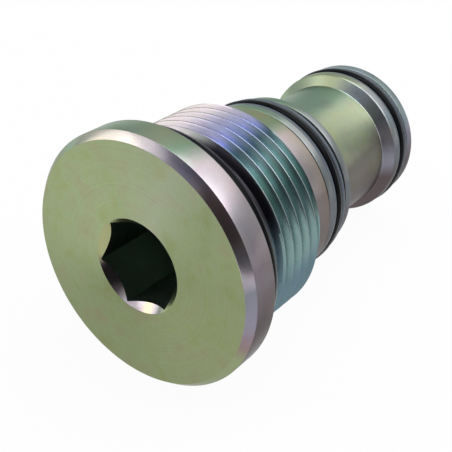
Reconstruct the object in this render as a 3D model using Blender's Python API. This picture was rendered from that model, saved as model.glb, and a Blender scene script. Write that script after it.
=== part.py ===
"""Screw-in cavity plug with its seals, in metres, +Z up.

The plug lies on its side. Its axis is the Y axis, with the head at -Y and the nose at +Y.
The origin is on the axis, in the plane of the seat face under the head.
"""

import math

import bmesh
import bpy
from mathutils import Vector

# Head: a round flange with a chamfered front edge
HEAD_DIAMETER = 0.0380
HEAD_THICKNESS = 0.0052
HEAD_CHAMFER_DEPTH = 0.0010
HEAD_CHAMFER_LENGTH = 0.0012

# Hexagon socket in the head, with a countersunk mouth and a drilled bottom
SOCKET_ACROSS_FLATS = 0.0120
SOCKET_DEPTH = 0.0110
SOCKET_TURN = math.radians(-16.2)
COUNTERSINK_MARGIN = 0.00017
COUNTERSINK_ANGLE = math.radians(90.0)
DRILL_MARGIN = 0.0002
DRILL_POINT_ANGLE = math.radians(118.0)

# Undercut behind the head, which holds the head O-ring
UNDERCUT_DIAMETER = 0.0297
UNDERCUT_LENGTH = 0.0049

# Metric fine thread, right-handed
THREAD_DIAMETER = 0.0328
THREAD_PITCH = 0.0020
THREAD_LENGTH = 0.0116
THREAD_PHASE = 0.00042
THREAD_DEPTH_PER_PITCH = 0.6134
THREAD_CREST_PER_PITCH = 0.125
THREAD_FLANK_ANGLE = math.radians(30.0)

# Plain land behind the thread, its relief line and the land in front of the upper seal
UPPER_LAND_DIAMETER = 0.0283
UPPER_LAND_LENGTH = 0.0053
UPPER_LAND_ROUND = 0.00035
RELIEF_LENGTH = 0.0003
RELIEF_DEPTH = 0.0003
SEAL_LAND_DIAMETER = 0.0279
SEAL_LAND_LENGTH = 0.0012

# Land behind the upper seal, and the neck
REAR_LAND_DIAMETER = 0.0267
REAR_LAND_LENGTH = 0.00145
NECK_DIAMETER = 0.0215
NECK_LENGTH = 0.0153
NECK_FILLET = 0.0008

# Nose: a flare, a land on each side of the nose seal, and the end chamfer
FLARE_LENGTH = 0.0014
NOSE_LAND_DIAMETER = 0.0248
NOSE_LAND_LENGTH = 0.0013
NOSE_LAND_ROUND = 0.0005
END_LAND_DIAMETER = 0.0246
END_LAND_LENGTH = 0.0025
END_CHAMFER = 0.0009

# Seals: section is an O-ring's thickness, setback its distance from the seat face,
# and web is a backup ring's thinnest place
SEAL_GAP = 0.0001
HEAD_RING_SECTION = 0.0030
HEAD_RING_SETBACK = 0.0001
UPPER_SEAL_DIAMETER = 0.0283
UPPER_RING_SECTION = 0.0024
UPPER_RING_PROUD = 0.0002
UPPER_FRONT_WEB = 0.00025
UPPER_REAR_WEB = 0.00028
UPPER_GROOVE_SLACK = 0.0012
NOSE_SEAL_DIAMETER = 0.0251
NOSE_RING_SECTION = 0.0024
NOSE_RING_PROUD = 0.00025
NOSE_FRONT_WEB = 0.00025
NOSE_REAR_WEB = 0.00025
NOSE_GROOVE_SLACK = 0.0001

# Scarf cut that lets a backup ring open to pass over a land
SCARF_GAP = 0.0003
SCARF_ANGLE = math.radians(45.0)
FRONT_CUT_SIDE = math.radians(180.0)
REAR_CUT_SIDE = math.radians(270.0)

# Fineness of the round shapes
BODY_STEPS = 64
RING_STEPS = 48
SECTION_STEPS = 8
ROUND_STEPS = 2
CONTOUR_STEPS = 3
SHARP_ANGLE = math.radians(30.0)
MERGE_DISTANCE = 1e-6
CUT_OVERLAP = 0.001

# Colours of the bare part
PLATED_STEEL = (0.42, 0.45, 0.30)
NITRILE_RUBBER = (0.012, 0.013, 0.016)
BACKUP_PLASTIC = (0.16, 0.19, 0.24)


class Seal:
    """Places of one seal: an O-ring between two contoured backup rings in a groove."""

    def __init__(self, groove_start, diameter, section, proud, front_web, rear_web, slack):
        self.tube = section / 2
        self.contour = self.tube + SEAL_GAP
        self.centre_radius = diameter / 2 - self.tube
        self.floor_radius = self.centre_radius - self.contour
        self.backup_inner = self.centre_radius - self.tube
        self.backup_outer = diameter / 2 - proud
        self.front_web = front_web
        self.rear_web = rear_web
        self.start = groove_start
        self.centre = groove_start + SEAL_GAP + front_web + self.contour
        self.end = self.centre + self.contour + rear_web + SEAL_GAP + slack


# Axial stations, from the seat face towards the nose
THREAD_START = UNDERCUT_LENGTH
THREAD_END = THREAD_START + THREAD_LENGTH
UPPER_LAND_END = THREAD_END + UPPER_LAND_LENGTH
RELIEF_END = UPPER_LAND_END + RELIEF_LENGTH
UPPER_SEAL = Seal(
    RELIEF_END + SEAL_LAND_LENGTH,
    UPPER_SEAL_DIAMETER,
    UPPER_RING_SECTION,
    UPPER_RING_PROUD,
    UPPER_FRONT_WEB,
    UPPER_REAR_WEB,
    UPPER_GROOVE_SLACK,
)
REAR_LAND_END = UPPER_SEAL.end + REAR_LAND_LENGTH
NECK_END = REAR_LAND_END + NECK_LENGTH
FLARE_END = NECK_END + FLARE_LENGTH
NOSE_SEAL = Seal(
    FLARE_END + NOSE_LAND_LENGTH,
    NOSE_SEAL_DIAMETER,
    NOSE_RING_SECTION,
    NOSE_RING_PROUD,
    NOSE_FRONT_WEB,
    NOSE_REAR_WEB,
    NOSE_GROOVE_SLACK,
)
NOSE_END = NOSE_SEAL.end + END_LAND_LENGTH
FACE = -HEAD_THICKNESS

# Thread radii
CREST_RADIUS = THREAD_DIAMETER / 2
THREAD_DEPTH = THREAD_DEPTH_PER_PITCH * THREAD_PITCH
ROOT_RADIUS = CREST_RADIUS - THREAD_DEPTH


def clear_scene():
    for old in list(bpy.data.objects):
        bpy.data.objects.remove(old)


def material(name, colour, roughness, metallic):
    """A plain Principled material."""
    made = bpy.data.materials.new(name)
    made.use_nodes = True
    shader = made.node_tree.nodes["Principled BSDF"]
    shader.inputs["Base Color"].default_value = (*colour, 1.0)
    shader.inputs["Roughness"].default_value = roughness
    shader.inputs["Metallic"].default_value = metallic
    made.diffuse_color = (*colour, 1.0)
    return made


def rounded(corners):
    """An outline through corners of (axial, radius, round), each round an arc tangent to its sides."""
    outline = []
    for index, (axial, radius, corner_round) in enumerate(corners):
        corner = Vector((axial, radius))
        if corner_round == 0.0:
            outline.append(corner)
            continue
        before = Vector(corners[index - 1][:2]) - corner
        after = Vector(corners[index + 1][:2]) - corner
        half_angle = before.angle(after) / 2
        reach = min(corner_round / math.tan(half_angle), before.length / 2, after.length / 2)
        arc_radius = reach * math.tan(half_angle)
        inward = (before.normalized() + after.normalized()).normalized()
        centre = corner + inward * (arc_radius / math.sin(half_angle))
        start = corner + before.normalized() * reach - centre
        finish = corner + after.normalized() * reach - centre
        for step in range(ROUND_STEPS + 1):
            outline.append(centre + arc_radius * start.slerp(finish, step / ROUND_STEPS))
    return outline


def plain(points):
    return [Vector(point) for point in points]


def revolve(shape, outline, steps, angle=math.tau, rise=0.0, closed=False):
    """Carry an outline of (axial, radius) points round the Y axis, starting on the +X side."""
    points = [shape.verts.new((point.y, point.x, 0.0)) for point in outline]
    followers = points[1:] + points[:1] if closed else points[1:]
    edges = [shape.edges.new(pair) for pair in zip(points, followers)]
    bmesh.ops.spin(
        shape,
        geom=points + edges,
        axis=(0.0, 1.0, 0.0),
        dvec=(0.0, rise / steps, 0.0),
        angle=angle,
        steps=steps,
    )


def finished(name, shape, parent):
    """An object made from a bmesh, shaded smooth except at its edges."""
    bmesh.ops.remove_doubles(shape, verts=shape.verts, dist=MERGE_DISTANCE)
    bmesh.ops.recalc_face_normals(shape, faces=shape.faces)
    mesh = bpy.data.meshes.new(name)
    shape.to_mesh(mesh)
    shape.free()
    mesh.shade_smooth()
    mesh.set_sharp_from_angle(angle=SHARP_ANGLE)
    made = bpy.data.objects.new(name, mesh)
    made.parent = parent
    bpy.context.scene.collection.objects.link(made)
    return made


def cutter(name, outline, steps, parent):
    """A turned tool that only cuts another object."""
    shape = bmesh.new()
    revolve(shape, plain(outline), steps)
    tool = finished(name, shape, parent)
    tool.hide_render = True
    tool.display_type = "WIRE"
    return tool


def cut(target, tool):
    step = target.modifiers.new(tool.name, "BOOLEAN")
    step.operation = "DIFFERENCE"
    step.solver = "EXACT"
    step.object = tool


def groove(seal, front_radius, rear_radius):
    """Corners of a seal groove between two lands."""
    return [
        (seal.start, front_radius, 0.0),
        (seal.start, seal.floor_radius, 0.0),
        (seal.end, seal.floor_radius, 0.0),
        (seal.end, rear_radius, 0.0),
    ]


def head_outline():
    """Half section from the centre of the head's face to the start of the thread."""
    head = HEAD_DIAMETER / 2
    undercut = UNDERCUT_DIAMETER / 2
    return plain([
        (FACE, 0.0),
        (FACE, head - HEAD_CHAMFER_DEPTH),
        (FACE + HEAD_CHAMFER_LENGTH, head),
        (0.0, head),
        (0.0, undercut),
        (THREAD_START - abs(ROOT_RADIUS - undercut), undercut),
        (THREAD_START, ROOT_RADIUS),
    ])


def nose_outline():
    """Half section from the end of the thread to the centre of the nose's end face."""
    upper_land = UPPER_LAND_DIAMETER / 2
    seal_land = SEAL_LAND_DIAMETER / 2
    relief = seal_land - RELIEF_DEPTH
    rear_land = REAR_LAND_DIAMETER / 2
    neck = NECK_DIAMETER / 2
    nose_land = NOSE_LAND_DIAMETER / 2
    end_land = END_LAND_DIAMETER / 2
    corners = [
        (THREAD_END, ROOT_RADIUS, 0.0),
        (THREAD_END + abs(ROOT_RADIUS - upper_land), upper_land, 0.0),
        (UPPER_LAND_END, upper_land, UPPER_LAND_ROUND),
        (UPPER_LAND_END, relief, 0.0),
        (RELIEF_END, relief, 0.0),
        (RELIEF_END, seal_land, 0.0),
    ]
    corners += groove(UPPER_SEAL, seal_land, rear_land)
    corners += [
        (REAR_LAND_END, rear_land, 0.0),
        (REAR_LAND_END, neck, NECK_FILLET),
        (NECK_END, neck, NECK_FILLET),
        (FLARE_END, nose_land, NOSE_LAND_ROUND),
    ]
    corners += groove(NOSE_SEAL, nose_land, end_land)
    corners += [
        (NOSE_END - END_CHAMFER, end_land, 0.0),
        (NOSE_END, end_land - END_CHAMFER, 0.0),
        (NOSE_END, 0.0, 0.0),
    ]
    return rounded(corners)


def thread_outline():
    """Crests and roots along the +X side, from a turn before the thread to a turn after it."""
    crest_half = THREAD_CREST_PER_PITCH * THREAD_PITCH / 2
    flank_end = crest_half + THREAD_DEPTH * math.tan(THREAD_FLANK_ANGLE)
    first = math.floor((THREAD_START - THREAD_PHASE) / THREAD_PITCH) - 2
    last = math.ceil((THREAD_END - THREAD_PHASE) / THREAD_PITCH) + 1
    outline = []
    for turn in range(first, last):
        crest = THREAD_PHASE + turn * THREAD_PITCH
        outline += [
            (crest - flank_end, ROOT_RADIUS),
            (crest - crest_half, CREST_RADIUS),
            (crest + crest_half, CREST_RADIUS),
            (crest + flank_end, ROOT_RADIUS),
        ]
    return plain(outline)


def thread_surface():
    """The helical thread, brought down to its root circle by a 45 degree lead at each end."""
    shape = bmesh.new()
    revolve(shape, thread_outline(), BODY_STEPS, rise=THREAD_PITCH)
    for vert in shape.verts:
        radius = math.hypot(vert.co.x, vert.co.z)
        vert.co.y = min(max(vert.co.y, THREAD_START), THREAD_END)
        lead = min(vert.co.y - THREAD_START, THREAD_END - vert.co.y)
        reduced = min(radius, ROOT_RADIUS + lead) / radius
        vert.co.x *= reduced
        vert.co.z *= reduced
    return shape


def socket_tools(parent):
    """Tools that cut the hexagon, its countersunk mouth and its drilled bottom."""
    flats = SOCKET_ACROSS_FLATS / 2
    corner = flats / math.cos(math.pi / 6)
    bottom = FACE + SOCKET_DEPTH
    before = FACE - CUT_OVERLAP
    hexagon = cutter("socket_hexagon", [
        (before, 0.0),
        (before, corner),
        (bottom, corner),
        (bottom, 0.0),
    ], 6, parent)
    hexagon.rotation_euler.y = SOCKET_TURN
    slope = math.tan(COUNTERSINK_ANGLE / 2)
    mouth = corner + COUNTERSINK_MARGIN
    countersink = cutter("socket_countersink", [
        (before, 0.0),
        (before, mouth + CUT_OVERLAP * slope),
        (FACE + mouth / slope, 0.0),
    ], BODY_STEPS, parent)
    drill = flats - DRILL_MARGIN
    drill_point = cutter("socket_drill_point", [
        (bottom - CUT_OVERLAP, 0.0),
        (bottom - CUT_OVERLAP, drill),
        (bottom, drill),
        (bottom + drill / math.tan(DRILL_POINT_ANGLE / 2), 0.0),
    ], RING_STEPS, parent)
    return [hexagon, countersink, drill_point]


def plug_body(parent):
    """Head, threaded shank, lands, neck and nose, turned from one bar."""
    shape = thread_surface()
    revolve(shape, head_outline(), BODY_STEPS)
    revolve(shape, nose_outline(), BODY_STEPS)
    body = finished("plug_body", shape, parent)
    body.data.materials.append(material("zinc_plated_steel", PLATED_STEEL, 0.3, 1.0))
    for tool in socket_tools(parent):
        cut(body, tool)


def o_ring(name, section, centre_radius, place, parent):
    """A moulded rubber ring of round section."""
    tube = section / 2
    turn = math.tau / SECTION_STEPS
    outline = []
    for step in range(SECTION_STEPS):
        outline.append((tube * math.cos(step * turn), centre_radius + tube * math.sin(step * turn)))
    shape = bmesh.new()
    revolve(shape, plain(outline), RING_STEPS, closed=True)
    ring = finished(name, shape, parent)
    ring.location.y = place
    ring.data.materials.append(material(name + "_rubber", NITRILE_RUBBER, 0.42, 0.0))


def backup_ring(name, seal, side, web, cut_side, parent):
    """A split ring whose inner face follows the O-ring: side is -1 in front of it and 1 behind."""
    reach_in = math.asin((seal.backup_inner - seal.centre_radius) / seal.contour)
    reach_out = math.asin((seal.backup_outer - seal.centre_radius) / seal.contour)
    back = side * (seal.contour + web)
    section = [(back, seal.backup_inner), (back, seal.backup_outer)]
    for step in range(CONTOUR_STEPS + 1):
        lean = reach_out + (reach_in - reach_out) * step / CONTOUR_STEPS
        radius = seal.centre_radius + seal.contour * math.sin(lean)
        section.append((side * seal.contour * math.cos(lean), radius))
    gap_angle = SCARF_GAP / seal.centre_radius
    shape = bmesh.new()
    revolve(shape, plain(section), RING_STEPS, math.tau - gap_angle, closed=True)
    ends = [edge for edge in shape.edges if edge.is_boundary]
    bmesh.ops.holes_fill(shape, edges=ends, sides=0)
    for vert in shape.verts:
        lean = (vert.co.y - back / 2) * math.tan(SCARF_ANGLE) / seal.centre_radius
        angle = math.atan2(vert.co.x, vert.co.z) + lean
        radius = math.hypot(vert.co.x, vert.co.z)
        vert.co.x = radius * math.sin(angle)
        vert.co.z = radius * math.cos(angle)
    ring = finished(name, shape, parent)
    ring.location.y = seal.centre
    ring.rotation_euler.y = cut_side - math.pi / 2
    ring.data.materials.append(material(name + "_plastic", BACKUP_PLASTIC, 0.5, 0.0))


def seal_set(name, seal, parent):
    """An O-ring and the backup rings on both sides of it."""
    o_ring(name + "_o_ring", 2 * seal.tube, seal.centre_radius, seal.centre, parent)
    backup_ring(name + "_backup_ring_front", seal, -1, seal.front_web, FRONT_CUT_SIDE, parent)
    backup_ring(name + "_backup_ring_rear", seal, 1, seal.rear_web, REAR_CUT_SIDE, parent)


def main():
    clear_scene()
    plug = bpy.data.objects.new("cavity_plug", None)
    bpy.context.scene.collection.objects.link(plug)
    plug_body(plug)
    head_radius = UNDERCUT_DIAMETER / 2 + SEAL_GAP + HEAD_RING_SECTION / 2
    head_place = HEAD_RING_SETBACK + HEAD_RING_SECTION / 2
    o_ring("head_o_ring", HEAD_RING_SECTION, head_radius, head_place, plug)
    seal_set("upper", UPPER_SEAL, plug)
    seal_set("nose", NOSE_SEAL, plug)


main()
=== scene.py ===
"""Screw-in cavity plug with its seals, dressed and lit for a studio picture.

The plug lies on its side along the Y axis, with its head at -Y and its nose at +Y. It rests on the
rim of its head and the end of its nose, so the floor under it is tilted by the angle between them.
"""

import math

import bmesh
import bpy
from mathutils import Matrix, Vector


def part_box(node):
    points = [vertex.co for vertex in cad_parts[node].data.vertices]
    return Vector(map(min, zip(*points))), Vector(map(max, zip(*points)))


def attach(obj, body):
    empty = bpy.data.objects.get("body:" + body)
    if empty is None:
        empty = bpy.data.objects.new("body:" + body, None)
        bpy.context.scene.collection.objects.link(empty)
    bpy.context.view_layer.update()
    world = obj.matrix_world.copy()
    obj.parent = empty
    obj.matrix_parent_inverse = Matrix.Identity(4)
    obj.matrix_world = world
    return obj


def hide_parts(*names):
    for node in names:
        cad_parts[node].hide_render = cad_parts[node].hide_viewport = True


bl_info = {
    "name": "Cavity Plug",
    "version": (1, 0, 0),
    "blender": (4, 5, 0),
    "location": "3D View > Sidebar > Cavity Plug",
    "description": "Makes a screw-in cavity plug, its seals and a small studio around them",
    "category": "Object",
}

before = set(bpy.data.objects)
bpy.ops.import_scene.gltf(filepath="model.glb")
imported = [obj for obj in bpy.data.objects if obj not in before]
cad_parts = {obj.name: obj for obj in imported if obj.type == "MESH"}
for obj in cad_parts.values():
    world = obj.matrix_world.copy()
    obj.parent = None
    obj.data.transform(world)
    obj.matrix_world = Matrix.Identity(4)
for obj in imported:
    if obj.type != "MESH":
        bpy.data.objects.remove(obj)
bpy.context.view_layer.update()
BODY_LOW, BODY_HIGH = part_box("plug_body")
FACE = BODY_LOW.y
NOSE_END = BODY_HIGH.y
NOSE_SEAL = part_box("nose_o_ring")[0].y

MM = 0.001
TURN_STEPS = 240
RING_STEPS = 192
SECTION_STEPS = 32
ROUND_STEPS = 3
FLANK_STEPS = 4
CONTOUR_STEPS = 8
SHARP_ANGLE = math.radians(32.0)
MERGE_DISTANCE = 1e-7
CUT_OVERLAP = 1.0 * MM
ROW_AXIS = (0.0, 1.0, 0.0)
# Keeps the head's facets inside the solid's box.
BOX_MARGIN = 0.001 * MM
# A metric thread: its depth and half of a crest's flat in pitches, and the slope of its flanks.
THREAD_DEPTH = 0.6134
HALF_CREST = 1 / 16
FLANK_ANGLE = math.radians(30.0)
# Half of the angle of a drill's point.
DRILL_ANGLE = math.radians(59.0)
# In edge breaks: the rounds at the countersink and at the foot of the head, and where the neck's finish ends.
MOUTH_BREAK = 1 / 2
SEAT_FILLET = 3
FILLET_START = 1 / 8
# Share of a backup ring's lip that its round takes.
LIP_ROUND = 0.9
# The thread's lead has the seat's finish, with its painted shade, up to this far below the crest.
LEAD_MARGIN = 0.12 * MM
# Least axial share of the normal of a face that lies square to the axis.
SQUARE = 0.95
# Gap between the plug and the floor.
FLOOR_GAP = 0.05 * MM

# Ranges that most values of a noise lie in.
NOISE_LOW, NOISE_HALF, NOISE_HIGH = 0.25, 0.5, 0.75
NOISE_NEAR_LOW, NOISE_NEAR_HIGH = 0.3, 0.7
# The plate: sizes of the film's drift, of its patches and of the tool's rings as drawn, how far the hue drifts
# as a share of a turn, how the rings change its shade and the patches its roughness, and how the rings show.
DRIFT_SIZE = 6 * MM
PATCH_SIZE = 3.2 * MM
FEED_SIZE = 0.35 * MM
DRIFT_REACH = 0.01
FEED_SHADE = (0.95, 1.03)
PATCH_ROUGHNESS = (-0.04, 0.05)
FEED_BUMP = 0.12
# Share of the light that the film leaves at a low angle.
EDGE_TINT = (0.7, 0.7, 0.7, 1.0)
# Turns the stretch of highlights from along the rings to across them.
ACROSS_RINGS = 0.25
# The rubber: sizes of its bloom and of its grain as drawn, how much bloom there is, and its roughness.
BLOOM_SIZE = 2.5 * MM
GRAIN_SIZE = 0.2 * MM
BLOOM_START = 0.45
BLOOM_SHARE = 0.5
RUBBER_ROUGHNESS = (0.19, 0.28)
# The nylon: sizes of its clouds and of the tool's rings, how the clouds change its shade, roughness and IOR.
NYLON_CLOUD_SIZE = 2 * MM
NYLON_RING_SIZE = 0.15 * MM
NYLON_SHADE = (0.88, 1.1)
NYLON_ROUGHNESS = 0.45
NYLON_IOR = 1.53
# Height of the fine marks on the plate, the rubber and the nylon, and how strongly they show on the last two.
MARK_HEIGHT = 0.006 * MM
SOFT_BUMP = 0.2
# Gloss of the rubber, as (share of the way from face on to edge on, level).
RUBBER_SHINE = ((0.10, 0.06), (0.36, 0.08), (0.60, 0.12), (0.85, 0.14))

# Colour round the axis on each zone of the body, as (degrees from +Z towards +X, shade). It is partly the
# film's own hue drift and partly painted light: the pale stops (cream, lilac, straw, silver, mist) between
# about -70 and 65 degrees are painted highlights, and the dark stops (rose, heather, pewter, stone, mauve,
# umber, dusk) low on the part, on its right and under the head are painted shade and painted reflection
# of dim surroundings.
FACE_FILM_AND_LIGHT = (
    (-180, "moss"), (-90, "olive"), (-20, "olive"), (18, "straw"), (46, "olive"), (80, "moss"), (180, "moss"),
)
# On the countersink, umber from -148 to -112 is painted reflection of the dim room, and lilac with gilt from
# 150 round to -163 is a painted highlight.
MOUTH_FILM_AND_LIGHT = (
    (-180, "lilac"), (-163, "lilac"), (-148, "umber"), (-112, "umber"), (-98, "khaki"), (-50, "khaki"),
    (-20, "olive"), (130, "olive"), (150, "lilac"), (160, "gilt"), (172, "lilac"), (180, "lilac"),
)
# On the chamfer, cream at -24 is a painted highlight, and rose from 36 to 52 is a painted dark stripe of shade.
CHAMFER_FILM_AND_LIGHT = (
    (-180, "umber"), (-75, "moss"), (-54, "moss"), (-42, "leaf"), (-24, "cream"), (4, "lilac"), (20, "orchid"),
    (36, "rose"), (52, "rose"), (65, "lilac"), (78, "heather"), (92, "orchid"), (102, "rose"), (112, "moss"),
    (150, "moss"), (180, "umber"),
)
RIM_FILM_AND_LIGHT = (
    (-180, "umber"), (-90, "leaf"), (-12, "leaf"), (3, "straw"), (13, "leaf"), (24, "lilac"), (36, "lilac"),
    (68, "mauve"), (76, "mauve"), (96, "umber"), (180, "umber"),
)
# Dusk on the seat, the undercut and the thread's lead is painted shade under the head.
SEAT_FILM_AND_LIGHT = (
    (-180, "dusk"), (-70, "cream"), (-12, "lilac"), (2, "silver"), (13, "dusk"), (55, "dusk"), (72, "slate"),
    (90, "slate"), (110, "dusk"), (180, "dusk"),
)
THREAD_FILM_AND_LIGHT = (
    (-180, "slate"), (-70, "cream"), (-12, "lilac"), (10, "lavender"), (22, "slate"), (30, "teal"),
    (45, "pine"), (49, "pine"), (62, "teal"), (80, "pine"), (96, "slate"), (180, "slate"),
)
# The crests are paler than the flanks: partly rubbed bright, partly painted highlight lines.
CREST_FILM_AND_LIGHT = (
    (-180, "slate"), (-60, "cream"), (-10, "cream"), (5, "lavender"), (45, "silver"), (90, "slate"),
    (180, "slate"),
)
LAND_FILM_AND_LIGHT = (
    (-180, "umber"), (-90, "leaf"), (2, "leaf"), (22, "silver"), (50, "silver"), (74, "pewter"), (84, "pewter"),
    (105, "umber"), (180, "umber"),
)
NECK_FILM_AND_LIGHT = (
    (-180, "umber"), (-90, "leaf"), (5, "leaf"), (25, "straw"), (48, "straw"), (68, "stone"), (80, "stone"),
    (105, "umber"), (180, "umber"),
)
NOSE_FILM_AND_LIGHT = (
    (-180, "umber"), (-90, "leaf"), (-10, "straw"), (4, "straw"), (22, "silver"), (38, "silver"), (50, "mist"),
    (62, "silver"), (73, "pewter"), (80, "pewter"), (98, "umber"), (180, "umber"),
)
FLARE_FILM_AND_LIGHT = (
    (-180, "umber"), (-90, "leaf"), (0, "straw"), (14, "mist"), (22, "mist"), (34, "silver"), (48, "silver"),
    (60, "lilac"), (65, "lilac"), (73, "heather"), (84, "heather"), (100, "umber"), (180, "umber"),
)
END_FILM_AND_LIGHT = (
    (-180, "umber"), (-90, "leaf"), (-2, "mist"), (16, "sage"), (38, "sage"), (54, "mist"), (70, "heather"),
    (96, "umber"), (180, "umber"),
)
SOCKET_FILM = ((-180, "fern"), (0, "fern"), (180, "fern"))

# Where along the axis a film turns gilt, from and to, and how far it does. The first one is off the part.
NO_DRAIN = (1.0, 2.0, 0.0)
RIM_DRAIN = (-4.0 * MM, 1.0 * MM, 0.35)
SHOULDER_DRAIN = (17.0 * MM, 21.8 * MM, 0.75)

# Finish of each zone: name, film colour with its painted light, whether the tool fed across the radius,
# roughness, clouding, stretch of its highlights and drain.
ZONES = {
    "face": ("zinc_plate_turned_face", FACE_FILM_AND_LIGHT, True, 0.42, 0.6, 0.75, NO_DRAIN),
    "mouth": ("zinc_plate_countersunk_mouth", MOUTH_FILM_AND_LIGHT, True, 0.22, 0.3, 0.4, NO_DRAIN),
    "chamfer": ("zinc_plate_turned_chamfer", CHAMFER_FILM_AND_LIGHT, False, 0.24, 0.3, 0.4, NO_DRAIN),
    "rim": ("zinc_plate_turned_rim", RIM_FILM_AND_LIGHT, False, 0.3, 0.4, 0.4, RIM_DRAIN),
    "seat": ("zinc_plate_turned_seat", SEAT_FILM_AND_LIGHT, False, 0.35, 0.2, 0.4, NO_DRAIN),
    "thread": ("zinc_plate_cut_thread", THREAD_FILM_AND_LIGHT, False, 0.27, 0.3, 0.4, NO_DRAIN),
    "crest": ("zinc_plate_worn_crest", CREST_FILM_AND_LIGHT, False, 0.24, 0.2, 0.4, NO_DRAIN),
    "shoulder": ("zinc_plate_turned_shoulder", RIM_FILM_AND_LIGHT, False, 0.3, 0.4, 0.4, SHOULDER_DRAIN),
    "land": ("zinc_plate_turned_land", LAND_FILM_AND_LIGHT, False, 0.3, 0.4, 0.4, NO_DRAIN),
    "neck": ("zinc_plate_turned_neck", NECK_FILM_AND_LIGHT, False, 0.32, 0.5, 0.4, NO_DRAIN),
    "nose": ("zinc_plate_turned_nose", NOSE_FILM_AND_LIGHT, False, 0.3, 0.4, 0.4, NO_DRAIN),
    "flare": ("zinc_plate_turned_flare", FLARE_FILM_AND_LIGHT, False, 0.3, 0.4, 0.4, NO_DRAIN),
    "end": ("zinc_plate_turned_end", END_FILM_AND_LIGHT, False, 0.32, 0.4, 0.4, NO_DRAIN),
    "socket": ("zinc_plate_broached_socket", SOCKET_FILM, True, 0.37, 0.3, 0.2, NO_DRAIN),
}

# Soft boxes: name, direction from the plug, width in metres, brightness where 1 is white, colour.
LAMP_DISTANCE = 0.6
SOFT_BOXES = (
    ("overhead", (-0.10, 0.20, 0.97), 0.34, 2.1, "#ffffff"),
    ("left", (-0.82, -0.39, 0.42), 0.42, 1.2, "#fffaf5"),
    ("top_left", (-0.55, -0.42, 0.73), 0.32, 0.8, "#fffaf5"),
    ("front", (-0.03, -0.955, 0.29), 0.20, 0.35, "#ffffff"),
    ("front_left", (-0.44, -0.82, 0.36), 0.30, 0.4, "#ffffff"),
    ("front_fill", (-0.10, -0.80, 0.58), 0.44, 0.45, "#ffffff"),
    ("right", (0.90, 0.24, 0.36), 0.34, 0.6, "#ffffff"),
    ("top_right", (0.50, 0.26, 0.83), 0.40, 2.3, "#ffffff"),
    ("back", (0.15, 0.66, 0.74), 0.40, 0.7, "#fff8f5"),
)

# The studio paper: size of its fibres, how they change its shade, roughness, and the share of it that shows as
# white. The rest takes the shadow.
FIBRE_SIZE = 3 * MM
FIBRE_SHADE = (0.985, 1.0)
PAPER_ROUGHNESS = 0.9
PAPER_WHITE = 0.96
# The room's light: the way along which it grows, from and to where, its levels there and its colour.
ROOM_WAY = (-0.45, 0.89, 0.0)
ROOM_SPAN = (-0.7, 0.65)
ROOM_LEVELS = (0.11, 0.65)
ROOM_COLOUR = "#e2e8ee"
SENSOR_WIDTH = 36.0
CLIP_START = 1.0 * MM


def linear(code):
    """An sRGB hex colour as linear red, green and blue."""
    shares = [int(code[place:place + 2], 16) / 255 for place in (1, 3, 5)]
    return [share / 12.92 if share <= 0.04045 else ((share + 0.055) / 1.055) ** 2.4 for share in shares]


def length(name, millimetres, description):
    """A length that a user can change."""
    return bpy.props.FloatProperty(
        name=name, description=description, default=millimetres * MM,
        min=0.0, precision=5, unit="LENGTH", subtype="DISTANCE",
    )


def colour(name, code, description):
    """A colour that a user can change."""
    return bpy.props.FloatVectorProperty(
        name=name, description=description, default=linear(code),
        size=3, min=0.0, max=1.0, subtype="COLOR",
    )


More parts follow.
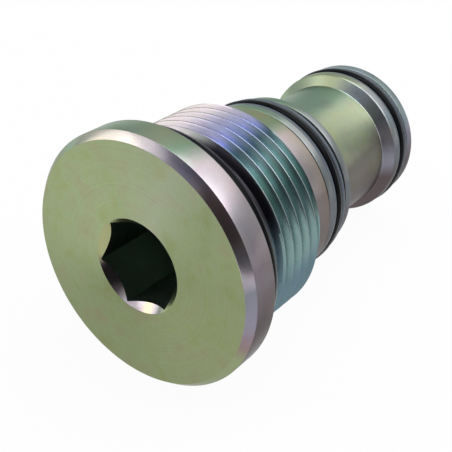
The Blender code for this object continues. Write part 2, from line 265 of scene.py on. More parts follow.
class CavityPlugBody(bpy.types.PropertyGroup):
    """Sizes of the turned body."""

    chamfer_depth: length("Head chamfer depth", 1.0, "How far the head's chamfer goes in across the face")
    chamfer_length: length("Head chamfer length", 1.2, "How far the head's chamfer goes along the axis")
    edge_break: length("Edge break", 0.12, "Round left on turned edges")
    across_flats: length("Hexagon", 12.0, "Hexagon socket across its flats")
    socket_depth: length("Socket depth", 11.0, "Depth of the hexagon below the face")
    socket_turn: bpy.props.FloatProperty(
        name="Socket turn", description="Turn of the hexagon round the axis",
        default=math.radians(-16.2), subtype="ANGLE",
    )
    socket_corner: length("Socket corner", 0.12, "Round that the broach leaves in the hexagon's corners")
    mouth_margin: length("Countersink margin", 0.17, "How far the countersink goes past the hexagon's corners")
    drill_margin: length("Drill margin", 0.2, "How much smaller the drill is than the hexagon's flats")
    undercut_diameter: length("Undercut diameter", 29.7, "Undercut behind the head")
    undercut_length: length("Undercut length", 4.9, "From the seat face to the thread")
    thread_diameter: length("Thread diameter", 32.8, "Outside of the thread")
    thread_pitch: length("Thread pitch", 2.0, "From one crest to the next")
    thread_length: length("Thread length", 11.6, "Length of the thread with its run-outs")
    thread_phase: length("Thread phase", 0.50, "Where a crest passes the +X side")
    runout_angle: bpy.props.FloatProperty(
        name="Run-out angle", description="Slope of the thread's rear end",
        default=math.radians(60.0), subtype="ANGLE",
    )
    crest_round: length("Crest round", 0.2, "Round on the crest of the thread")
    root_round: length("Root round", 0.24, "Round in the root of the thread")
    lead_round: length("Lead round", 0.16, "Round where the thread's lead meets its crest")
    # The crest band that this sets is paler, partly rubbed bright and partly a painted highlight line.
    crest_wear_and_highlight: length("Crest wear", 0.02, "How far down from its crest the thread is rubbed bright")
    upper_land_diameter: length("Upper land diameter", 28.3, "Plain land behind the thread")
    upper_land_length: length("Upper land length", 5.3, "Length of that land")
    upper_land_round: length("Upper land round", 0.35, "Round on that land's rear edge")
    relief_length: length("Relief length", 0.3, "Width of the line between the two lands")
    relief_depth: length("Relief depth", 0.3, "Depth of that line")
    seal_land_diameter: length("Seal land diameter", 27.9, "Land in front of the upper seal")
    rear_land_diameter: length("Rear land diameter", 26.7, "Land behind the upper seal")
    rear_land_length: length("Rear land length", 1.45, "Length of that land")
    groove_slack: length("Groove slack", 1.2, "Room left behind the upper backup ring")
    neck_diameter: length("Neck diameter", 21.5, "Smooth neck")
    neck_length: length("Neck length", 15.3, "From the rear land to the flare")
    neck_fillet: length("Neck fillet", 0.3, "Fillet at each end of the neck")
    flare_length: length("Flare length", 1.4, "Cone from the neck to the nose")
    nose_land_diameter: length("Nose land diameter", 24.8, "Land in front of the nose seal")
    nose_land_round: length("Nose land round", 0.5, "Round on that land's front edge")
    end_land_diameter: length("End land diameter", 24.6, "Land behind the nose seal")
    end_chamfer: length("End chamfer", 0.9, "Chamfer at the nose's end")


class CavityPlugSeals(bpy.types.PropertyGroup):
    """Sizes of the rings that aren't in the frame's boxes."""

    gap: length("Seal gap", 0.1, "Gap between a ring and what it touches")
    flash: length("Mould flash", 0.04, "Height of the flash line round an O-ring")
    front_lip: length("Front lip", 0.04, "How far the lip of a front backup ring is rounded down to its O-ring")
    rear_lip: length("Rear lip", 0.2, "How far the lip of a rear backup ring is rounded down to its O-ring")
    edge: length("Ring edge", 0.03, "Round on the outer edge of a backup ring, away from its O-ring")
    snug: length("Snug gap", 0.005, "Gap between a front backup ring and the wall that it is pressed on")
    scarf_gap: length("Scarf gap", 0.3, "Width of the cut through a backup ring")
    scarf_angle: bpy.props.FloatProperty(
        name="Scarf angle", description="Slant of the cut through a backup ring",
        default=math.radians(45.0), subtype="ANGLE",
    )


class CavityPlugFinish(bpy.types.PropertyGroup):
    """Colours of the finishes."""

    # The pale shades cream, lilac, straw, silver and mist also serve as painted highlights where the tables put
    # them, and rose, heather, pewter, stone, mauve, umber and dusk as painted shade and painted reflection of
    # dim surroundings.
    olive: colour("Olive film", "#a3b288", "Even passivation film, as on the head's face")
    moss: colour("Moss film", "#919d76", "Film low on the head's face")
    leaf: colour("Leaf film", "#9ab69c", "Greenest film, along the top")
    straw: colour("Straw film", "#b3be9f", "Thicker film, along the neck")
    cream: colour("Cream film", "#ded8c8", "Thinnest film, next to bare zinc")
    lilac: colour("Lilac film", "#ccc5cd", "Thinnest film, where it turns rosy")
    rose: colour("Rose film", "#8f7c7c", "Film low on the head's chamfer")
    orchid: colour("Orchid film", "#8d8a9c", "Film on the right of the head's chamfer")
    heather: colour("Heather film", "#82848f", "Film on the right of the nose")
    # Umber is painted shade on the underside and low on the right of the part.
    umber: colour("Umber film", "#5c5355", "Film on the underside")
    khaki: colour("Khaki film", "#a5a97d", "Film on the left of the countersink")
    fern: colour("Fern film", "#7f8f84", "Film down in the socket")
    gilt: colour("Gilt tint", "#fff0c4", "Tint of the film where it is a little thicker")
    blush: colour("Blush tint", "#ffd9e4", "Tint of the film where it is a little thinner")
    silver: colour("Silver film", "#9ba1a1", "Film on the seal lands")
    pewter: colour("Pewter film", "#6c7377", "Film low on the seal lands")
    # Mauve is painted shade and painted reflection on the lower right of the rim.
    mauve: colour("Mauve film", "#7b767d", "Film where it pooled low on the head")
    stone: colour("Stone film", "#73726a", "Film low on the neck")
    # Dusk is painted shade under the head, on the seat, the undercut and the thread's lead.
    dusk: colour("Dusk film", "#4a4650", "Film under the head, where it never drained")
    lavender: colour("Lavender film", "#a2abd8", "Film on the flanks of the thread")
    teal: colour("Teal film", "#8fabac", "Film on the flanks, further round")
    pine: colour("Pine film", "#7e9c9a", "Film on the flanks, on the right")
    sage: colour("Sage film", "#849493", "Film behind the nose seal")
    mist: colour("Mist film", "#b0c0c5", "Film on the nose's flare")
    slate: colour("Slate film", "#67808b", "Film on the flanks, low on the part")
    rubber: colour("Rubber", "#08090d", "Black nitrile rubber")
    bloom: colour("Rubber bloom", "#10141b", "Faint bloom on the rubber")
    nylon: colour("Backup ring", "#5a646e", "Blue-grey nylon")
    paper: colour("Floor", "#fbfbfa", "Studio paper")


class CavityPlugStage(bpy.types.PropertyGroup):
    """Places of the camera and lamps."""

    camera_place: bpy.props.FloatVectorProperty(
        name="Camera place", description="Where the camera stands",
        default=(63.137 * MM, -78.624 * MM, 68.308 * MM), size=3, unit="LENGTH", subtype="TRANSLATION",
    )
    camera_aim: bpy.props.FloatVectorProperty(
        name="Camera aim", description="Direction in which the camera looks",
        default=(-0.47160, 0.70263, -0.53282), size=3, subtype="DIRECTION",
    )
    lens: bpy.props.FloatProperty(
        name="Lens", description="Focal length in millimetres on a 36 mm sensor", default=69.786,
    )
    floor_size: length("Floor size", 3000.0, "Width of the floor")


class CavityPlugSettings(bpy.types.PropertyGroup):
    """All settings of the cavity plug."""

    body: bpy.props.PointerProperty(type=CavityPlugBody, name="Body", description="Turned body")
    seals: bpy.props.PointerProperty(type=CavityPlugSeals, name="Seals", description="Rings")
    finish: bpy.props.PointerProperty(type=CavityPlugFinish, name="Finish", description="Colours")
    stage: bpy.props.PointerProperty(type=CavityPlugStage, name="Stage", description="Camera and lamps")


def turned(corners, steps, rise=0.0):
    """A shape turned round the Y axis from an outline: a corner is (axial place, radius, round)."""
    shape = bmesh.new()
    points = [Vector((radius, axial, 0.0)) for axial, radius, corner_round in corners]
    verts = [shape.verts.new(point) for point in points]
    for pair in zip(verts, verts[1:]):
        shape.edges.new(pair)
    for index, (axial, radius, corner_round) in enumerate(corners):
        if corner_round == 0.0:
            continue
        before = points[index - 1] - points[index]
        after = points[index + 1] - points[index]
        reach = corner_round / math.tan(before.angle(after) / 2)
        bmesh.ops.bevel(
            shape, geom=[verts[index]], offset=min(reach, before.length / 2, after.length / 2),
            offset_type="OFFSET", affect="VERTICES", segments=ROUND_STEPS, profile=0.5, material=-1,
        )
    bmesh.ops.spin(
        shape, geom=shape.verts[:] + shape.edges[:], axis=ROW_AXIS, dvec=(0.0, rise / steps, 0.0),
        angle=math.tau, steps=steps, use_merge=rise == 0.0,
    )
    return shape


def joined(shapes):
    """One shape from several that share their edges."""
    whole = bmesh.new()
    for shape in shapes:
        mesh = bpy.data.meshes.new("section")
        shape.to_mesh(mesh)
        shape.free()
        whole.from_mesh(mesh)
        bpy.data.meshes.remove(mesh)
    return whole


def finished(name, shape, materials=()):
    """An object at the origin made from a bmesh, shaded smooth except at its edges."""
    bmesh.ops.remove_doubles(shape, verts=shape.verts, dist=MERGE_DISTANCE)
    bmesh.ops.recalc_face_normals(shape, faces=shape.faces)
    mesh = bpy.data.meshes.new(name)
    shape.to_mesh(mesh)
    shape.free()
    mesh.shade_smooth()
    mesh.set_sharp_from_angle(angle=SHARP_ANGLE)
    for material in materials:
        mesh.materials.append(material)
    made = bpy.data.objects.new(name, mesh)
    bpy.context.scene.collection.objects.link(made)
    return made


def stations(size):
    """Axial places along the body, from the seat face towards the nose."""
    thread_start = size.undercut_length
    thread_end = thread_start + size.thread_length
    land_end = thread_end + size.upper_land_length
    return thread_start, thread_end, land_end, land_end + size.relief_length


def thread_radii(size):
    """Crest and root radius of a metric thread."""
    crest = size.thread_diameter / 2
    return crest, crest - THREAD_DEPTH * size.thread_pitch


def socket_corner_radius(size):
    """How far the hexagon's corners are from the axis."""
    return size.across_flats / 2 / math.cos(math.pi / 6)


def head_corners(size):
    """Half section from the countersink's point to the start of the thread."""
    head = BODY_HIGH.x - BOX_MARGIN
    undercut = size.undercut_diameter / 2
    mouth = socket_corner_radius(size) + size.mouth_margin
    root = thread_radii(size)[1]
    start = stations(size)[0]
    return [
        (FACE + mouth, 0.0, 0.0),
        (FACE, mouth, size.edge_break * MOUTH_BREAK),
        (FACE, head - size.chamfer_depth, size.edge_break),
        (FACE + size.chamfer_length, head, size.edge_break),
        (0.0, head, size.edge_break),
        (0.0, undercut, size.edge_break * SEAT_FILLET),
        (start - abs(root - undercut), undercut, size.edge_break),
        (start, root, 0.0),
    ]


def groove_corners(start, end, floor, front, rear, size):
    """A seal groove, from the land in front of it to the land behind it."""
    return [
        (start, front, 0.0),
        (start, floor, size.edge_break),
        (end, floor, size.edge_break),
        (end, rear, size.edge_break),
    ]


def nose_corners(size, gap, snug):
    """Half section from the end of the thread to the centre of the nose's end face."""
    thread_start, thread_end, land_end, relief_end = stations(size)
    root = thread_radii(size)[1]
    upper_land = size.upper_land_diameter / 2
    seal_land = size.seal_land_diameter / 2
    rear_land = size.rear_land_diameter / 2
    neck = size.neck_diameter / 2
    nose_land = size.nose_land_diameter / 2
    end_land = size.end_land_diameter / 2
    upper_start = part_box("upper_backup_ring_front")[0].y - snug
    upper_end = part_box("upper_backup_ring_rear")[1].y + gap + size.groove_slack
    upper_floor = floor_radius("upper_o_ring", gap)
    rear_land_end = upper_end + size.rear_land_length
    neck_end = rear_land_end + size.neck_length
    flare_end = neck_end + size.flare_length
    nose_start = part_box("nose_backup_ring_front")[0].y - snug
    nose_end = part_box("nose_backup_ring_rear")[1].y + gap * 2
    nose_floor = floor_radius("nose_o_ring", gap)
    corners = [
        (thread_end, root, 0.0),
        (thread_end + abs(root - upper_land), upper_land, size.edge_break),
        (land_end, upper_land, size.upper_land_round),
        (land_end, seal_land - size.relief_depth, 0.0),
        (relief_end, seal_land - size.relief_depth, 0.0),
        (relief_end, seal_land, size.edge_break),
    ]
    corners += groove_corners(upper_start, upper_end, upper_floor, seal_land, rear_land, size)
    corners += [
        (rear_land_end, rear_land, size.edge_break),
        (rear_land_end, neck, size.neck_fillet),
        (neck_end, neck, size.neck_fillet),
        (flare_end, nose_land, size.nose_land_round),
    ]
    corners += groove_corners(nose_start, nose_end, nose_floor, nose_land, end_land, size)
    corners += [
        (NOSE_END - size.end_chamfer, end_land, size.edge_break),
        (NOSE_END, end_land - size.end_chamfer, size.edge_break),
        (NOSE_END, 0.0, 0.0),
    ]
    return corners


def between(first, last):
    """Plain corners on the straight line between two corners."""
    return [
        (
            first[0] + (last[0] - first[0]) * step / FLANK_STEPS,
            first[1] + (last[1] - first[1]) * step / FLANK_STEPS,
            0.0,
        )
        for step in range(1, FLANK_STEPS)
    ]


def thread_corners(size):
    """Crests and roots along the +X side, from a turn before the thread to a turn after it."""
    crest, root = thread_radii(size)
    pitch = size.thread_pitch
    crest_half = pitch * HALF_CREST
    flank_end = crest_half + (crest - root) * math.tan(FLANK_ANGLE)
    thread_start, thread_end = stations(size)[:2]
    first = math.floor((thread_start - size.thread_phase) / pitch) - 2
    last = math.ceil((thread_end - size.thread_phase) / pitch) + 1
    corners = []
    for turn in range(first, last):
        middle = size.thread_phase + turn * pitch
        front_root = (middle - flank_end, root, size.root_round)
        front_crest = (middle - crest_half, crest, size.crest_round)
        rear_crest = (middle + crest_half, crest, size.crest_round)
        rear_root = (middle + flank_end, root, size.root_round)
        corners += [front_root, *between(front_root, front_crest), front_crest]
        corners += [rear_crest, *between(rear_crest, rear_root), rear_root]
    corners[0] = (*corners[0][:2], 0.0)
    corners[-1] = (*corners[-1][:2], 0.0)
    return corners


def thread_shape(size):
    """The helical thread, brought down to its root circle by a 45 degree lead and a steeper run-out."""
    thread_start, thread_end = stations(size)[:2]
    root = thread_radii(size)[1]
    shape = turned(thread_corners(size), TURN_STEPS, size.thread_pitch)
    for vert in shape.verts:
        radius = math.hypot(vert.co.x, vert.co.z)
        vert.co.y = min(max(vert.co.y, thread_start), thread_end)
        rise = vert.co.y - thread_start
        fall = (thread_end - vert.co.y) * math.tan(size.runout_angle)
        lead = root + min(rise, fall)
        reduced = min(radius, lead)
        if size.lead_round < rise < fall:
            reduced -= max(size.lead_round - abs(radius - lead), 0.0) ** 2 / (4 * size.lead_round)
        vert.co.x *= reduced / radius
        vert.co.z *= reduced / radius
    return shape


def socket_tools(size):
    """Tools for the broached hexagon and the drilled hole that it was broached into."""
    corner = socket_corner_radius(size)
    bottom = FACE + size.socket_depth
    before = FACE - CUT_OVERLAP
    shape = turned([(before, 0.0, 0.0), (before, corner, 0.0), (bottom, corner, 0.0), (bottom, 0.0, 0.0)], 6)
    bmesh.ops.remove_doubles(shape, verts=shape.verts, dist=MERGE_DISTANCE)
    bmesh.ops.rotate(shape, verts=shape.verts, matrix=Matrix.Rotation(size.socket_turn, 3, "Y"))
    uprights = [edge for edge in shape.edges if abs(edge.verts[0].co.y - edge.verts[1].co.y) > CUT_OVERLAP]
    bmesh.ops.bevel(
        shape, geom=uprights, offset=size.socket_corner, offset_type="OFFSET", affect="EDGES",
        segments=ROUND_STEPS, profile=0.5, material=-1,
    )
    hexagon = finished("socket_hexagon", shape)
    drill = size.across_flats / 2 - size.drill_margin
    shape = turned([
        (bottom - CUT_OVERLAP, 0.0, 0.0),
        (bottom - CUT_OVERLAP, drill, 0.0),
        (bottom, drill, 0.0),
        (bottom + drill / math.tan(DRILL_ANGLE), 0.0, 0.0),
    ], RING_STEPS)
    return [hexagon, finished("socket_drill", shape)]


def cut_away(target, tools):
    """Take the tools' shapes out of a piece for good."""
    for tool in tools:
        step = target.modifiers.new(tool.name, "BOOLEAN")
        step.operation = "DIFFERENCE"
        step.solver = "EXACT"
        step.object = tool
    depsgraph = bpy.context.evaluated_depsgraph_get()
    mesh = bpy.data.meshes.new_from_object(target.evaluated_get(depsgraph))
    target.modifiers.clear()
    old = target.data
    target.data = mesh
    bpy.data.meshes.remove(old)
    for tool in tools:
        bpy.data.objects.remove(tool)
    mesh.shade_smooth()
    mesh.set_sharp_from_angle(angle=SHARP_ANGLE)


def floor_radius(ring, gap):
    """Radius of the groove's floor under an O-ring."""
    low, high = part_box(ring)
    return high.x - (high.y - low.y) - gap


def node(tree, kind, links=(), values=(), stops=(), **settings):
    """Add a node with its settings, socket values, ramp stops and links."""
    made = tree.nodes.new(kind)
    for name, value in settings.items():
        setattr(made, name, value)
    for socket, value in values:
        made.inputs[socket].default_value = value
    for socket, source in links:
        tree.links.new(source, made.inputs[socket])
    for index, (place, shade) in enumerate(stops):
        ramp = made.color_ramp.elements
        stop = ramp[index] if index < 2 else ramp.new(place)
        stop.position = place
        stop.color = (*shade, 1.0)
    return made


def new_material(name):
    """A material with its Principled shader."""
    material = bpy.data.materials.new(name)
    material.use_nodes = True
    return material, material.node_tree, material.node_tree.nodes["Principled BSDF"]


def plate(name, film, feed_across, roughness, clouding, grain, drain, finish):
    """Zinc plate on turned steel under a yellow-green passivation film.

    Turning leaves fine rings, so highlights stretch across them. The film is a fraction of a
    wavelength thick and drained unevenly, so its hue drifts and clouds in patches, and it takes
    light away at a low angle. film lists the colour round the axis as (degrees from +Z towards +X,
    shade): partly the film's own hue and partly painted light, with painted highlights in its pale
    stops and painted shade and painted reflection of dim surroundings in its dark stops low on the
    part, on its right and under the head. drain is the stretch of the axis in which the film turns
    gilt, and how far it does.
    The feed of the tool is about 0.1 mm, too fine to show, so its rings are drawn three to four
    times as coarse.
    """
    material, tree, shader = new_material(name)
    place = node(tree, "ShaderNodeTexCoord").outputs["Object"]
    axes = node(tree, "ShaderNodeSeparateXYZ", [(0, place)]).outputs
    across = node(tree, "ShaderNodeCombineXYZ", [(0, axes["X"]), (2, axes["Z"])])
    radius = node(tree, "ShaderNodeVectorMath", [(0, across.outputs[0])], operation="LENGTH")
    angle = node(tree, "ShaderNodeMath", [(0, axes["X"]), (1, axes["Z"])], operation="ARCTAN2")
    turn = node(
        tree, "ShaderNodeMath", [(0, angle.outputs[0])], [(1, 1 / math.tau), (2, 0.5)],
        operation="MULTIPLY_ADD",
    )
    cloud = node(tree, "ShaderNodeTexNoise", [("Vector", place)], [("Scale", 1 / DRIFT_SIZE), ("Detail", 3.0)])
    wander = node(
        tree, "ShaderNodeMapRange", [("Value", cloud.outputs["Fac"])],
        [
            ("From Min", NOISE_NEAR_LOW), ("From Max", NOISE_NEAR_HIGH),
            ("To Min", -DRIFT_REACH), ("To Max", DRIFT_REACH),
        ],
    )
    drift = node(tree, "ShaderNodeMath", [(0, turn.outputs[0]), (1, wander.outputs[0])])
    # The ramp gives each zone's film hue together with its painted highlights and painted shade round the axis.
    hue = node(
        tree, "ShaderNodeValToRGB", [(0, drift.outputs[0])],
        stops=[(degrees / 360 + 0.5, getattr(finish, shade)) for degrees, shade in film],
    )
    patch = node(
        tree, "ShaderNodeTexNoise", [("Vector", place)],
        [("Scale", 1 / PATCH_SIZE), ("Detail", 4.0), ("Roughness", 0.6)],
    )
    thick = node(
        tree, "ShaderNodeMapRange", [("Value", patch.outputs["Fac"])],
        [("From Min", NOISE_HALF), ("From Max", NOISE_HIGH), ("To Max", clouding)],
    )
    thin = node(
        tree, "ShaderNodeMapRange", [("Value", patch.outputs["Fac"])],
        [("From Min", NOISE_HALF), ("From Max", NOISE_LOW), ("To Max", clouding)],
    )
    drained = node(
        tree, "ShaderNodeMapRange", [("Value", axes["Y"])],
        [("From Min", drain[0]), ("From Max", drain[1]), ("To Max", drain[2])],
    )
    gilded = node(
        tree, "ShaderNodeMath", [(0, thick.outputs[0]), (1, drained.outputs[0])], operation="MAXIMUM",
    )
    warm = node(
        tree, "ShaderNodeMix", [("Factor", gilded.outputs[0]), ("A", hue.outputs["Color"])],
        [("B", (*finish.gilt, 1.0))], data_type="RGBA", blend_type="MULTIPLY",
    )
    clouded = node(
        tree, "ShaderNodeMix", [("Factor", thin.outputs[0]), ("A", warm.outputs["Result"])],
        [("B", (*finish.blush, 1.0))], data_type="RGBA", blend_type="MULTIPLY",
    )
    marks = node(
        tree, "ShaderNodeTexNoise", [("W", radius.outputs["Value"] if feed_across else axes["Y"])],
        [("Scale", 1 / FEED_SIZE), ("Detail", 2.0), ("Roughness", 0.7)], noise_dimensions="1D",
    )
    depth = node(
        tree, "ShaderNodeMapRange", [("Value", marks.outputs["Fac"])],
        [
            ("From Min", NOISE_LOW), ("From Max", NOISE_HIGH),
            ("To Min", FEED_SHADE[0]), ("To Max", FEED_SHADE[1]),
        ],
    )
    lined = node(
        tree, "ShaderNodeVectorMath", [(0, clouded.outputs["Result"]), ("Scale", depth.outputs[0])],
        operation="SCALE",
    )
    gloss = node(
        tree, "ShaderNodeMapRange", [("Value", patch.outputs["Fac"])],
        [
            ("From Min", NOISE_LOW), ("From Max", NOISE_HIGH),
            ("To Min", roughness + PATCH_ROUGHNESS[0]), ("To Max", roughness + PATCH_ROUGHNESS[1]),
        ],
    )
    bump = node(
        tree, "ShaderNodeBump", [("Height", marks.outputs["Fac"])],
        [("Strength", FEED_BUMP), ("Distance", MARK_HEIGHT)],
    )
    tangent = node(tree, "ShaderNodeTangent", direction_type="RADIAL", axis="Y")
    tree.links.new(lined.outputs[0], shader.inputs["Base Color"])
    tree.links.new(gloss.outputs[0], shader.inputs["Roughness"])
    tree.links.new(bump.outputs[0], shader.inputs["Normal"])
    tree.links.new(tangent.outputs[0], shader.inputs["Tangent"])
    shader.inputs["Metallic"].default_value = 1.0
    shader.inputs["Specular Tint"].default_value = EDGE_TINT
    shader.inputs["Anisotropic"].default_value = grain
    shader.inputs["Anisotropic Rotation"].default_value = ACROSS_RINGS
    return material


def moulded_rubber(finish):
    """Nitrile rubber from a polished mould: near black, with a soft sheen and a faint grey bloom.

    The bloom takes the shine off where the rubber faces the eye, and a trace of oil shines at its edges.
    The grain of the mould is too fine to show, so it is drawn coarser.
    """
    material, tree, shader = new_material("nitrile_rubber_moulded")
    place = node(tree, "ShaderNodeTexCoord").outputs["Object"]
    bloom = node(
        tree, "ShaderNodeTexNoise", [("Vector", place)],
        [("Scale", 1 / BLOOM_SIZE), ("Detail", 4.0), ("Roughness", 0.65)],
    )
    haze = node(
        tree, "ShaderNodeMapRange", [("Value", bloom.outputs["Fac"])],
        [("From Min", BLOOM_START), ("From Max", NOISE_HIGH), ("To Max", BLOOM_SHARE)],
    )
    tint = node(
        tree, "ShaderNodeMix", [("Factor", haze.outputs[0])],
        [("A", (*finish.rubber, 1.0)), ("B", (*finish.bloom, 1.0))], data_type="RGBA",
    )
    gloss = node(
        tree, "ShaderNodeMapRange", [("Value", bloom.outputs["Fac"])],
        [
            ("From Min", NOISE_NEAR_LOW), ("From Max", NOISE_NEAR_HIGH),
            ("To Min", RUBBER_ROUGHNESS[0]), ("To Max", RUBBER_ROUGHNESS[1]),
        ],
    )
    grain = node(tree, "ShaderNodeTexNoise", [("Vector", place)], [("Scale", 1 / GRAIN_SIZE), ("Detail", 2.0)])
    bump = node(
        tree, "ShaderNodeBump", [("Height", grain.outputs["Fac"])],
        [("Strength", SOFT_BUMP), ("Distance", MARK_HEIGHT)],
    )
    tree.links.new(tint.outputs["Result"], shader.inputs["Base Color"])
    tree.links.new(gloss.outputs[0], shader.inputs["Roughness"])
    tree.links.new(bump.outputs[0], shader.inputs["Normal"])
    slope = node(tree, "ShaderNodeLayerWeight").outputs["Facing"]
    shine = node(
        tree, "ShaderNodeValToRGB", [(0, slope)],
        stops=[(share, (level,) * 3) for share, level in RUBBER_SHINE],
    )
    tree.links.new(shine.outputs[0], shader.inputs["Specular IOR Level"])
    return material


def turned_nylon(finish):
    """Nylon turned from tube: blue-grey, waxy, with fine rings from the tool, drawn coarse enough to show."""
    material, tree, shader = new_material("nylon_turned")
    place = node(tree, "ShaderNodeTexCoord").outputs["Object"]
    axes = node(tree, "ShaderNodeSeparateXYZ", [(0, place)])
    cloud = node(
        tree, "ShaderNodeTexNoise", [("Vector", place)], [("Scale", 1 / NYLON_CLOUD_SIZE), ("Detail", 3.0)],
    )
    shade = node(
        tree, "ShaderNodeMapRange", [("Value", cloud.outputs["Fac"])],
        [
            ("From Min", NOISE_NEAR_LOW), ("From Max", NOISE_NEAR_HIGH),
            ("To Min", NYLON_SHADE[0]), ("To Max", NYLON_SHADE[1]),
        ],
    )
    tint = node(
        tree, "ShaderNodeVectorMath", [("Scale", shade.outputs[0])], [(0, tuple(finish.nylon))],
        operation="SCALE",
    )
    rings = node(
        tree, "ShaderNodeTexNoise", [("W", axes.outputs["Y"])],
        [("Scale", 1 / NYLON_RING_SIZE), ("Detail", 2.0)], noise_dimensions="1D",
    )
    bump = node(
        tree, "ShaderNodeBump", [("Height", rings.outputs["Fac"])],
        [("Strength", SOFT_BUMP), ("Distance", MARK_HEIGHT)],
    )
    tree.links.new(tint.outputs[0], shader.inputs["Base Color"])
    tree.links.new(bump.outputs[0], shader.inputs["Normal"])
    shader.inputs["Roughness"].default_value = NYLON_ROUGHNESS
    shader.inputs["IOR"].default_value = NYLON_IOR
    return material


class CAVITYPLUG_OT_body(bpy.types.Operator):
    """Make the turned and plated body"""

    bl_idname = "cavity_plug.body"
    bl_label = "Body"

    def execute(self, context):
        settings = context.scene.cavity_plug
        size = settings.body
        finish = settings.finish
        head = turned(head_corners(size), TURN_STEPS)
        nose = turned(nose_corners(size, settings.seals.gap, settings.seals.snug), TURN_STEPS)
        body = finished("plated_body", joined([head, thread_shape(size), nose]))
        cut_away(body, socket_tools(size))
        for entry in ZONES.values():
            body.data.materials.append(plate(*entry, finish))
        order = list(ZONES)
        for polygon in body.data.polygons:
            polygon.material_index = order.index(self.zone(polygon, size))
        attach(body, "root")
        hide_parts("plug_body")
        return {"FINISHED"}

    def zone(self, polygon, size):
        """Which finish a face of the body has."""
        middle = polygon.center
        radius = math.hypot(middle.x, middle.z)
        thread_start, thread_end = stations(size)[:2]
        mouth = socket_corner_radius(size) + size.mouth_margin
        if radius < mouth and FACE + CUT_OVERLAP < middle.y < FACE + 2 * size.socket_depth:
            return "socket"
        if abs(polygon.normal.y) > SQUARE and middle.y < FACE + size.edge_break:
            return "face"
        if middle.y < FACE + size.chamfer_length:
            return "mouth" if radius < mouth else "chamfer"
        if middle.y < -size.edge_break:
            return "rim"
        crest, root = thread_radii(size)
        if middle.y < thread_start + crest - root and radius < crest - LEAD_MARGIN:
            return "seat"
        if middle.y > thread_end:
            return self.shank_zone(middle.y, radius, size)
        return "crest" if radius > crest - size.crest_wear_and_highlight else "thread"

    def shank_zone(self, place, radius, size):
        """Which finish a face behind the thread has."""
        if place < stations(size)[2]:
            return "shoulder"
        if radius < size.neck_diameter / 2 + size.edge_break * FILLET_START:
            return "neck"
        if place > NOSE_SEAL:
            return "end"
        if place > NOSE_END - size.neck_length and radius < size.nose_land_diameter / 2 - size.edge_break:
            return "flare"
        return "land" if place < NOSE_END - size.neck_length else "nose"


class CAVITYPLUG_OT_o_rings(bpy.types.Operator):
    """Make the three moulded O-rings"""

    bl_idname = "cavity_plug.o_rings"
    bl_label = "O-rings"

    def execute(self, context):
        settings = context.scene.cavity_plug
        rubber = moulded_rubber(settings.finish)
        for name in ("head_o_ring", "upper_o_ring", "nose_o_ring"):
            low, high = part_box(name)
            tube = (high.y - low.y) / 2
            centre = Vector((high.x - tube, (high.y + low.y) / 2, 0.0))
            shape = bmesh.new()
            bmesh.ops.create_circle(
                shape, segments=SECTION_STEPS, radius=tube, matrix=Matrix.Translation(centre),
            )
            for vert in shape.verts:
                if abs(vert.co.y - centre.y) < MERGE_DISTANCE:
                    vert.co.x += math.copysign(settings.seals.flash, vert.co.x - centre.x)
            bmesh.ops.spin(
                shape, geom=shape.verts[:] + shape.edges[:], axis=ROW_AXIS,
                angle=math.tau, steps=RING_STEPS, use_merge=True,
            )
            ring = finished("moulded_" + name, shape, [rubber])
            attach(ring, "root")
            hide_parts(name)
        return {"FINISHED"}


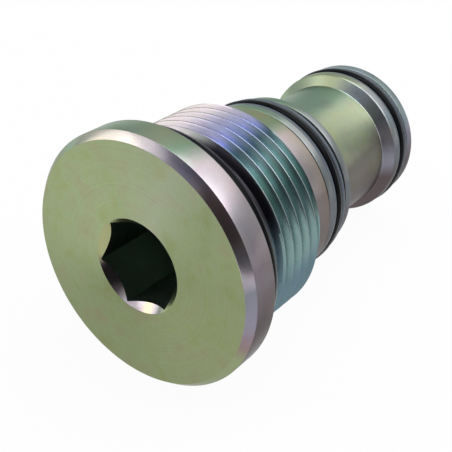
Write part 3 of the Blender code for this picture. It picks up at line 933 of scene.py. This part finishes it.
class CAVITYPLUG_OT_backup_rings(bpy.types.Operator):
    """Make the split backup rings beside the O-rings"""

    bl_idname = "cavity_plug.backup_rings"
    bl_label = "Backup rings"

    def execute(self, context):
        settings = context.scene.cavity_plug
        nylon = turned_nylon(settings.finish)
        for seal in ("upper", "nose"):
            self.ring(seal, "front", -1, math.radians(180.0), settings.seals, nylon)
            self.ring(seal, "rear", 1, math.radians(270.0), settings.seals, nylon)
        return {"FINISHED"}

    def ring(self, seal, end, side, cut_side, sizes, nylon):
        """One ring: side is -1 in front of its O-ring and 1 behind it."""
        name = seal + "_backup_ring_" + end
        low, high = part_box(name)
        ring_low, ring_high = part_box(seal + "_o_ring")
        tube = (ring_high.y - ring_low.y) / 2
        middle = Vector((ring_high.x - tube, (ring_high.y + ring_low.y) / 2, 0.0))
        contour = tube + sizes.gap
        back = low.y if side < 0 else high.y
        inner = middle.x - tube
        outer = high.x
        lip = sizes.front_lip if side < 0 else sizes.rear_lip
        lean_in = math.asin((inner - middle.x) / contour)
        lean_out = math.asin((outer - lip - middle.x) / contour)
        shape = bmesh.new()
        lip_edge = shape.verts.new((outer - lip, middle.y + side * contour * math.cos(lean_out), 0.0))
        bmesh.ops.spin(
            shape, geom=[lip_edge], cent=middle, axis=(0.0, 0.0, side),
            angle=lean_out - lean_in, steps=CONTOUR_STEPS,
        )
        inside = min(shape.verts, key=lambda vert: vert.co.x)
        shoulder = shape.verts.new((outer, lip_edge.co.y + side * lip, 0.0))
        back_outer = shape.verts.new((outer, back, 0.0))
        back_inner = shape.verts.new((inner, back, 0.0))
        outline = (lip_edge, shoulder, back_outer, back_inner, inside)
        for pair in zip(outline, outline[1:]):
            shape.edges.new(pair)
        for corner, corner_round in ((shoulder, lip * LIP_ROUND), (back_outer, sizes.edge)):
            bmesh.ops.bevel(
                shape, geom=[corner], offset=corner_round, offset_type="OFFSET",
                affect="VERTICES", segments=ROUND_STEPS, profile=0.5, material=-1,
            )
        bmesh.ops.spin(
            shape, geom=shape.verts[:] + shape.edges[:], axis=ROW_AXIS,
            angle=math.tau - sizes.scarf_gap / middle.x, steps=RING_STEPS,
        )
        ends = [edge for edge in shape.edges if edge.is_boundary]
        bmesh.ops.holes_fill(shape, edges=ends, sides=0)
        for vert in shape.verts:
            slant = (vert.co.y - (back + middle.y) / 2) * math.tan(sizes.scarf_angle) / middle.x
            vert.co.rotate(Matrix.Rotation(slant + cut_side - math.pi / 2, 3, "Y"))
        ring = finished("turned_" + name, shape, [nylon])
        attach(ring, "root")
        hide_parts(name)


class CAVITYPLUG_OT_stage(bpy.types.Operator):
    """Make the floor, the lamps and the camera"""

    bl_idname = "cavity_plug.stage"
    bl_label = "Stage"

    def execute(self, context):
        settings = context.scene.cavity_plug
        size = settings.body
        stage = settings.stage
        scene = context.scene
        scene.view_settings.view_transform = "Standard"
        rest_y = NOSE_END - size.end_chamfer
        head = BODY_HIGH.x
        tilt = math.atan2(head - size.end_land_diameter / 2, rest_y)
        ground = Matrix.Translation((0.0, 0.0, -head - FLOOR_GAP)) @ Matrix.Rotation(tilt, 4, "X")
        shape = bmesh.new()
        bmesh.ops.create_grid(shape, x_segments=1, y_segments=1, size=stage.floor_size / 2, matrix=ground)
        floor = finished("studio_floor", shape, [self.paper(settings.finish)])
        self.world(scene)
        self.lamps()
        self.camera(scene, stage, ground)
        return {"FINISHED"}

    def paper(self, finish):
        """Matt studio paper: white to the eye and in reflections, and it still takes a shadow."""
        material, tree, shader = new_material("studio_paper")
        place = node(tree, "ShaderNodeTexCoord").outputs["Object"]
        fibre = node(
            tree, "ShaderNodeTexNoise", [("Vector", place)], [("Scale", 1 / FIBRE_SIZE), ("Detail", 3.0)],
        )
        shade = node(
            tree, "ShaderNodeMapRange", [("Value", fibre.outputs["Fac"])],
            [("To Min", FIBRE_SHADE[0]), ("To Max", FIBRE_SHADE[1])],
        )
        tint = node(
            tree, "ShaderNodeVectorMath", [("Scale", shade.outputs[0])], [(0, tuple(finish.paper))],
            operation="SCALE",
        )
        tree.links.new(tint.outputs[0], shader.inputs["Base Color"])
        shader.inputs["Roughness"].default_value = PAPER_ROUGHNESS
        path = node(tree, "ShaderNodeLightPath")
        seen = node(
            tree, "ShaderNodeMath",
            [(0, path.outputs["Is Camera Ray"]), (1, path.outputs["Is Glossy Ray"])], operation="MAXIMUM",
        )
        shown = node(
            tree, "ShaderNodeMath",
            [(0, seen.outputs[0]), (1, path.outputs["Is Transmission Ray"])], operation="MAXIMUM",
        )
        lift = node(tree, "ShaderNodeMath", [(0, shown.outputs[0])], [(1, PAPER_WHITE)], operation="MULTIPLY")
        white = node(tree, "ShaderNodeEmission", [], [("Color", (1.0, 1.0, 1.0, 1.0)), ("Strength", 1.0)])
        mix = node(
            tree, "ShaderNodeMixShader",
            [(0, lift.outputs[0]), (1, shader.outputs[0]), (2, white.outputs[0])],
        )
        tree.links.new(mix.outputs[0], tree.nodes["Material Output"].inputs["Surface"])
        return material

    def world(self, scene):
        """A cool room that is dim behind the camera and lighter behind the plug."""
        world = bpy.data.worlds.new("studio_room")
        world.use_nodes = True
        tree = world.node_tree
        background = tree.nodes["Background"]
        place = node(tree, "ShaderNodeTexCoord").outputs["Generated"]
        depth = node(tree, "ShaderNodeVectorMath", [(0, place)], [(1, ROOM_WAY)], operation="DOT_PRODUCT")
        level = node(
            tree, "ShaderNodeMapRange", [("Value", depth.outputs["Value"])],
            [
                ("From Min", ROOM_SPAN[0]), ("From Max", ROOM_SPAN[1]),
                ("To Min", ROOM_LEVELS[0]), ("To Max", ROOM_LEVELS[1]),
            ],
        )
        tree.links.new(level.outputs[0], background.inputs["Strength"])
        background.inputs["Color"].default_value = (*linear(ROOM_COLOUR), 1.0)
        scene.world = world

    def lamps(self):
        """Soft boxes that all face the plug."""
        for name, aim, width, brightness, code in SOFT_BOXES:
            lamp = bpy.data.lights.new(name, "AREA")
            lamp.shape = "SQUARE"
            lamp.size = width
            lamp.energy = brightness * math.pi * width * width
            lamp.color = linear(code)
            holder = bpy.data.objects.new(name, lamp)
            holder.location = Vector(aim).normalized() * LAMP_DISTANCE
            holder.rotation_euler = holder.location.to_track_quat("Z", "Y").to_euler()
            holder.visible_camera = False
            bpy.context.scene.collection.objects.link(holder)

    def camera(self, scene, stage, ground):
        """A level camera above the tilted floor."""
        view = Vector(stage.camera_aim).normalized()
        right = view.cross(ground.to_3x3().col[2]).normalized()
        upward = right.cross(view)
        camera = bpy.data.cameras.new("camera")
        camera.lens = stage.lens
        camera.sensor_width = SENSOR_WIDTH
        camera.clip_start = CLIP_START
        holder = bpy.data.objects.new("camera", camera)
        facing = Matrix((right, upward, -view)).transposed().to_4x4()
        holder.matrix_world = Matrix.Translation(stage.camera_place) @ facing
        scene.collection.objects.link(holder)
        scene.camera = holder


class CAVITYPLUG_PT_panel(bpy.types.Panel):
    """Lists the steps that make the cavity plug"""

    bl_idname = "CAVITYPLUG_PT_panel"
    bl_label = "Cavity Plug"
    bl_space_type = "VIEW_3D"
    bl_region_type = "UI"
    bl_category = "Cavity Plug"

    def draw(self, context):
        """One button for each step."""
        for step in STEPS:
            self.layout.operator(step.bl_idname)


STEPS = (CAVITYPLUG_OT_body, CAVITYPLUG_OT_o_rings, CAVITYPLUG_OT_backup_rings, CAVITYPLUG_OT_stage)
GROUPS = (CavityPlugBody, CavityPlugSeals, CavityPlugFinish, CavityPlugStage, CavityPlugSettings)
CLASSES = GROUPS + STEPS + (CAVITYPLUG_PT_panel,)


def register():
    """Make the classes and settings known to Blender."""
    for entry in CLASSES:
        bpy.utils.register_class(entry)
    bpy.types.Scene.cavity_plug = bpy.props.PointerProperty(
        type=CavityPlugSettings, name="Cavity plug", description="Settings of the cavity plug",
    )


def unregister():
    """Take the classes and settings out of Blender again."""
    del bpy.types.Scene.cavity_plug
    for entry in reversed(CLASSES):
        bpy.utils.unregister_class(entry)


def main():
    """Make the plug and its stage."""
    register()
    bpy.ops.cavity_plug.body()
    bpy.ops.cavity_plug.o_rings()
    bpy.ops.cavity_plug.backup_rings()
    bpy.ops.cavity_plug.stage()


if __name__ == "__main__":
    main()
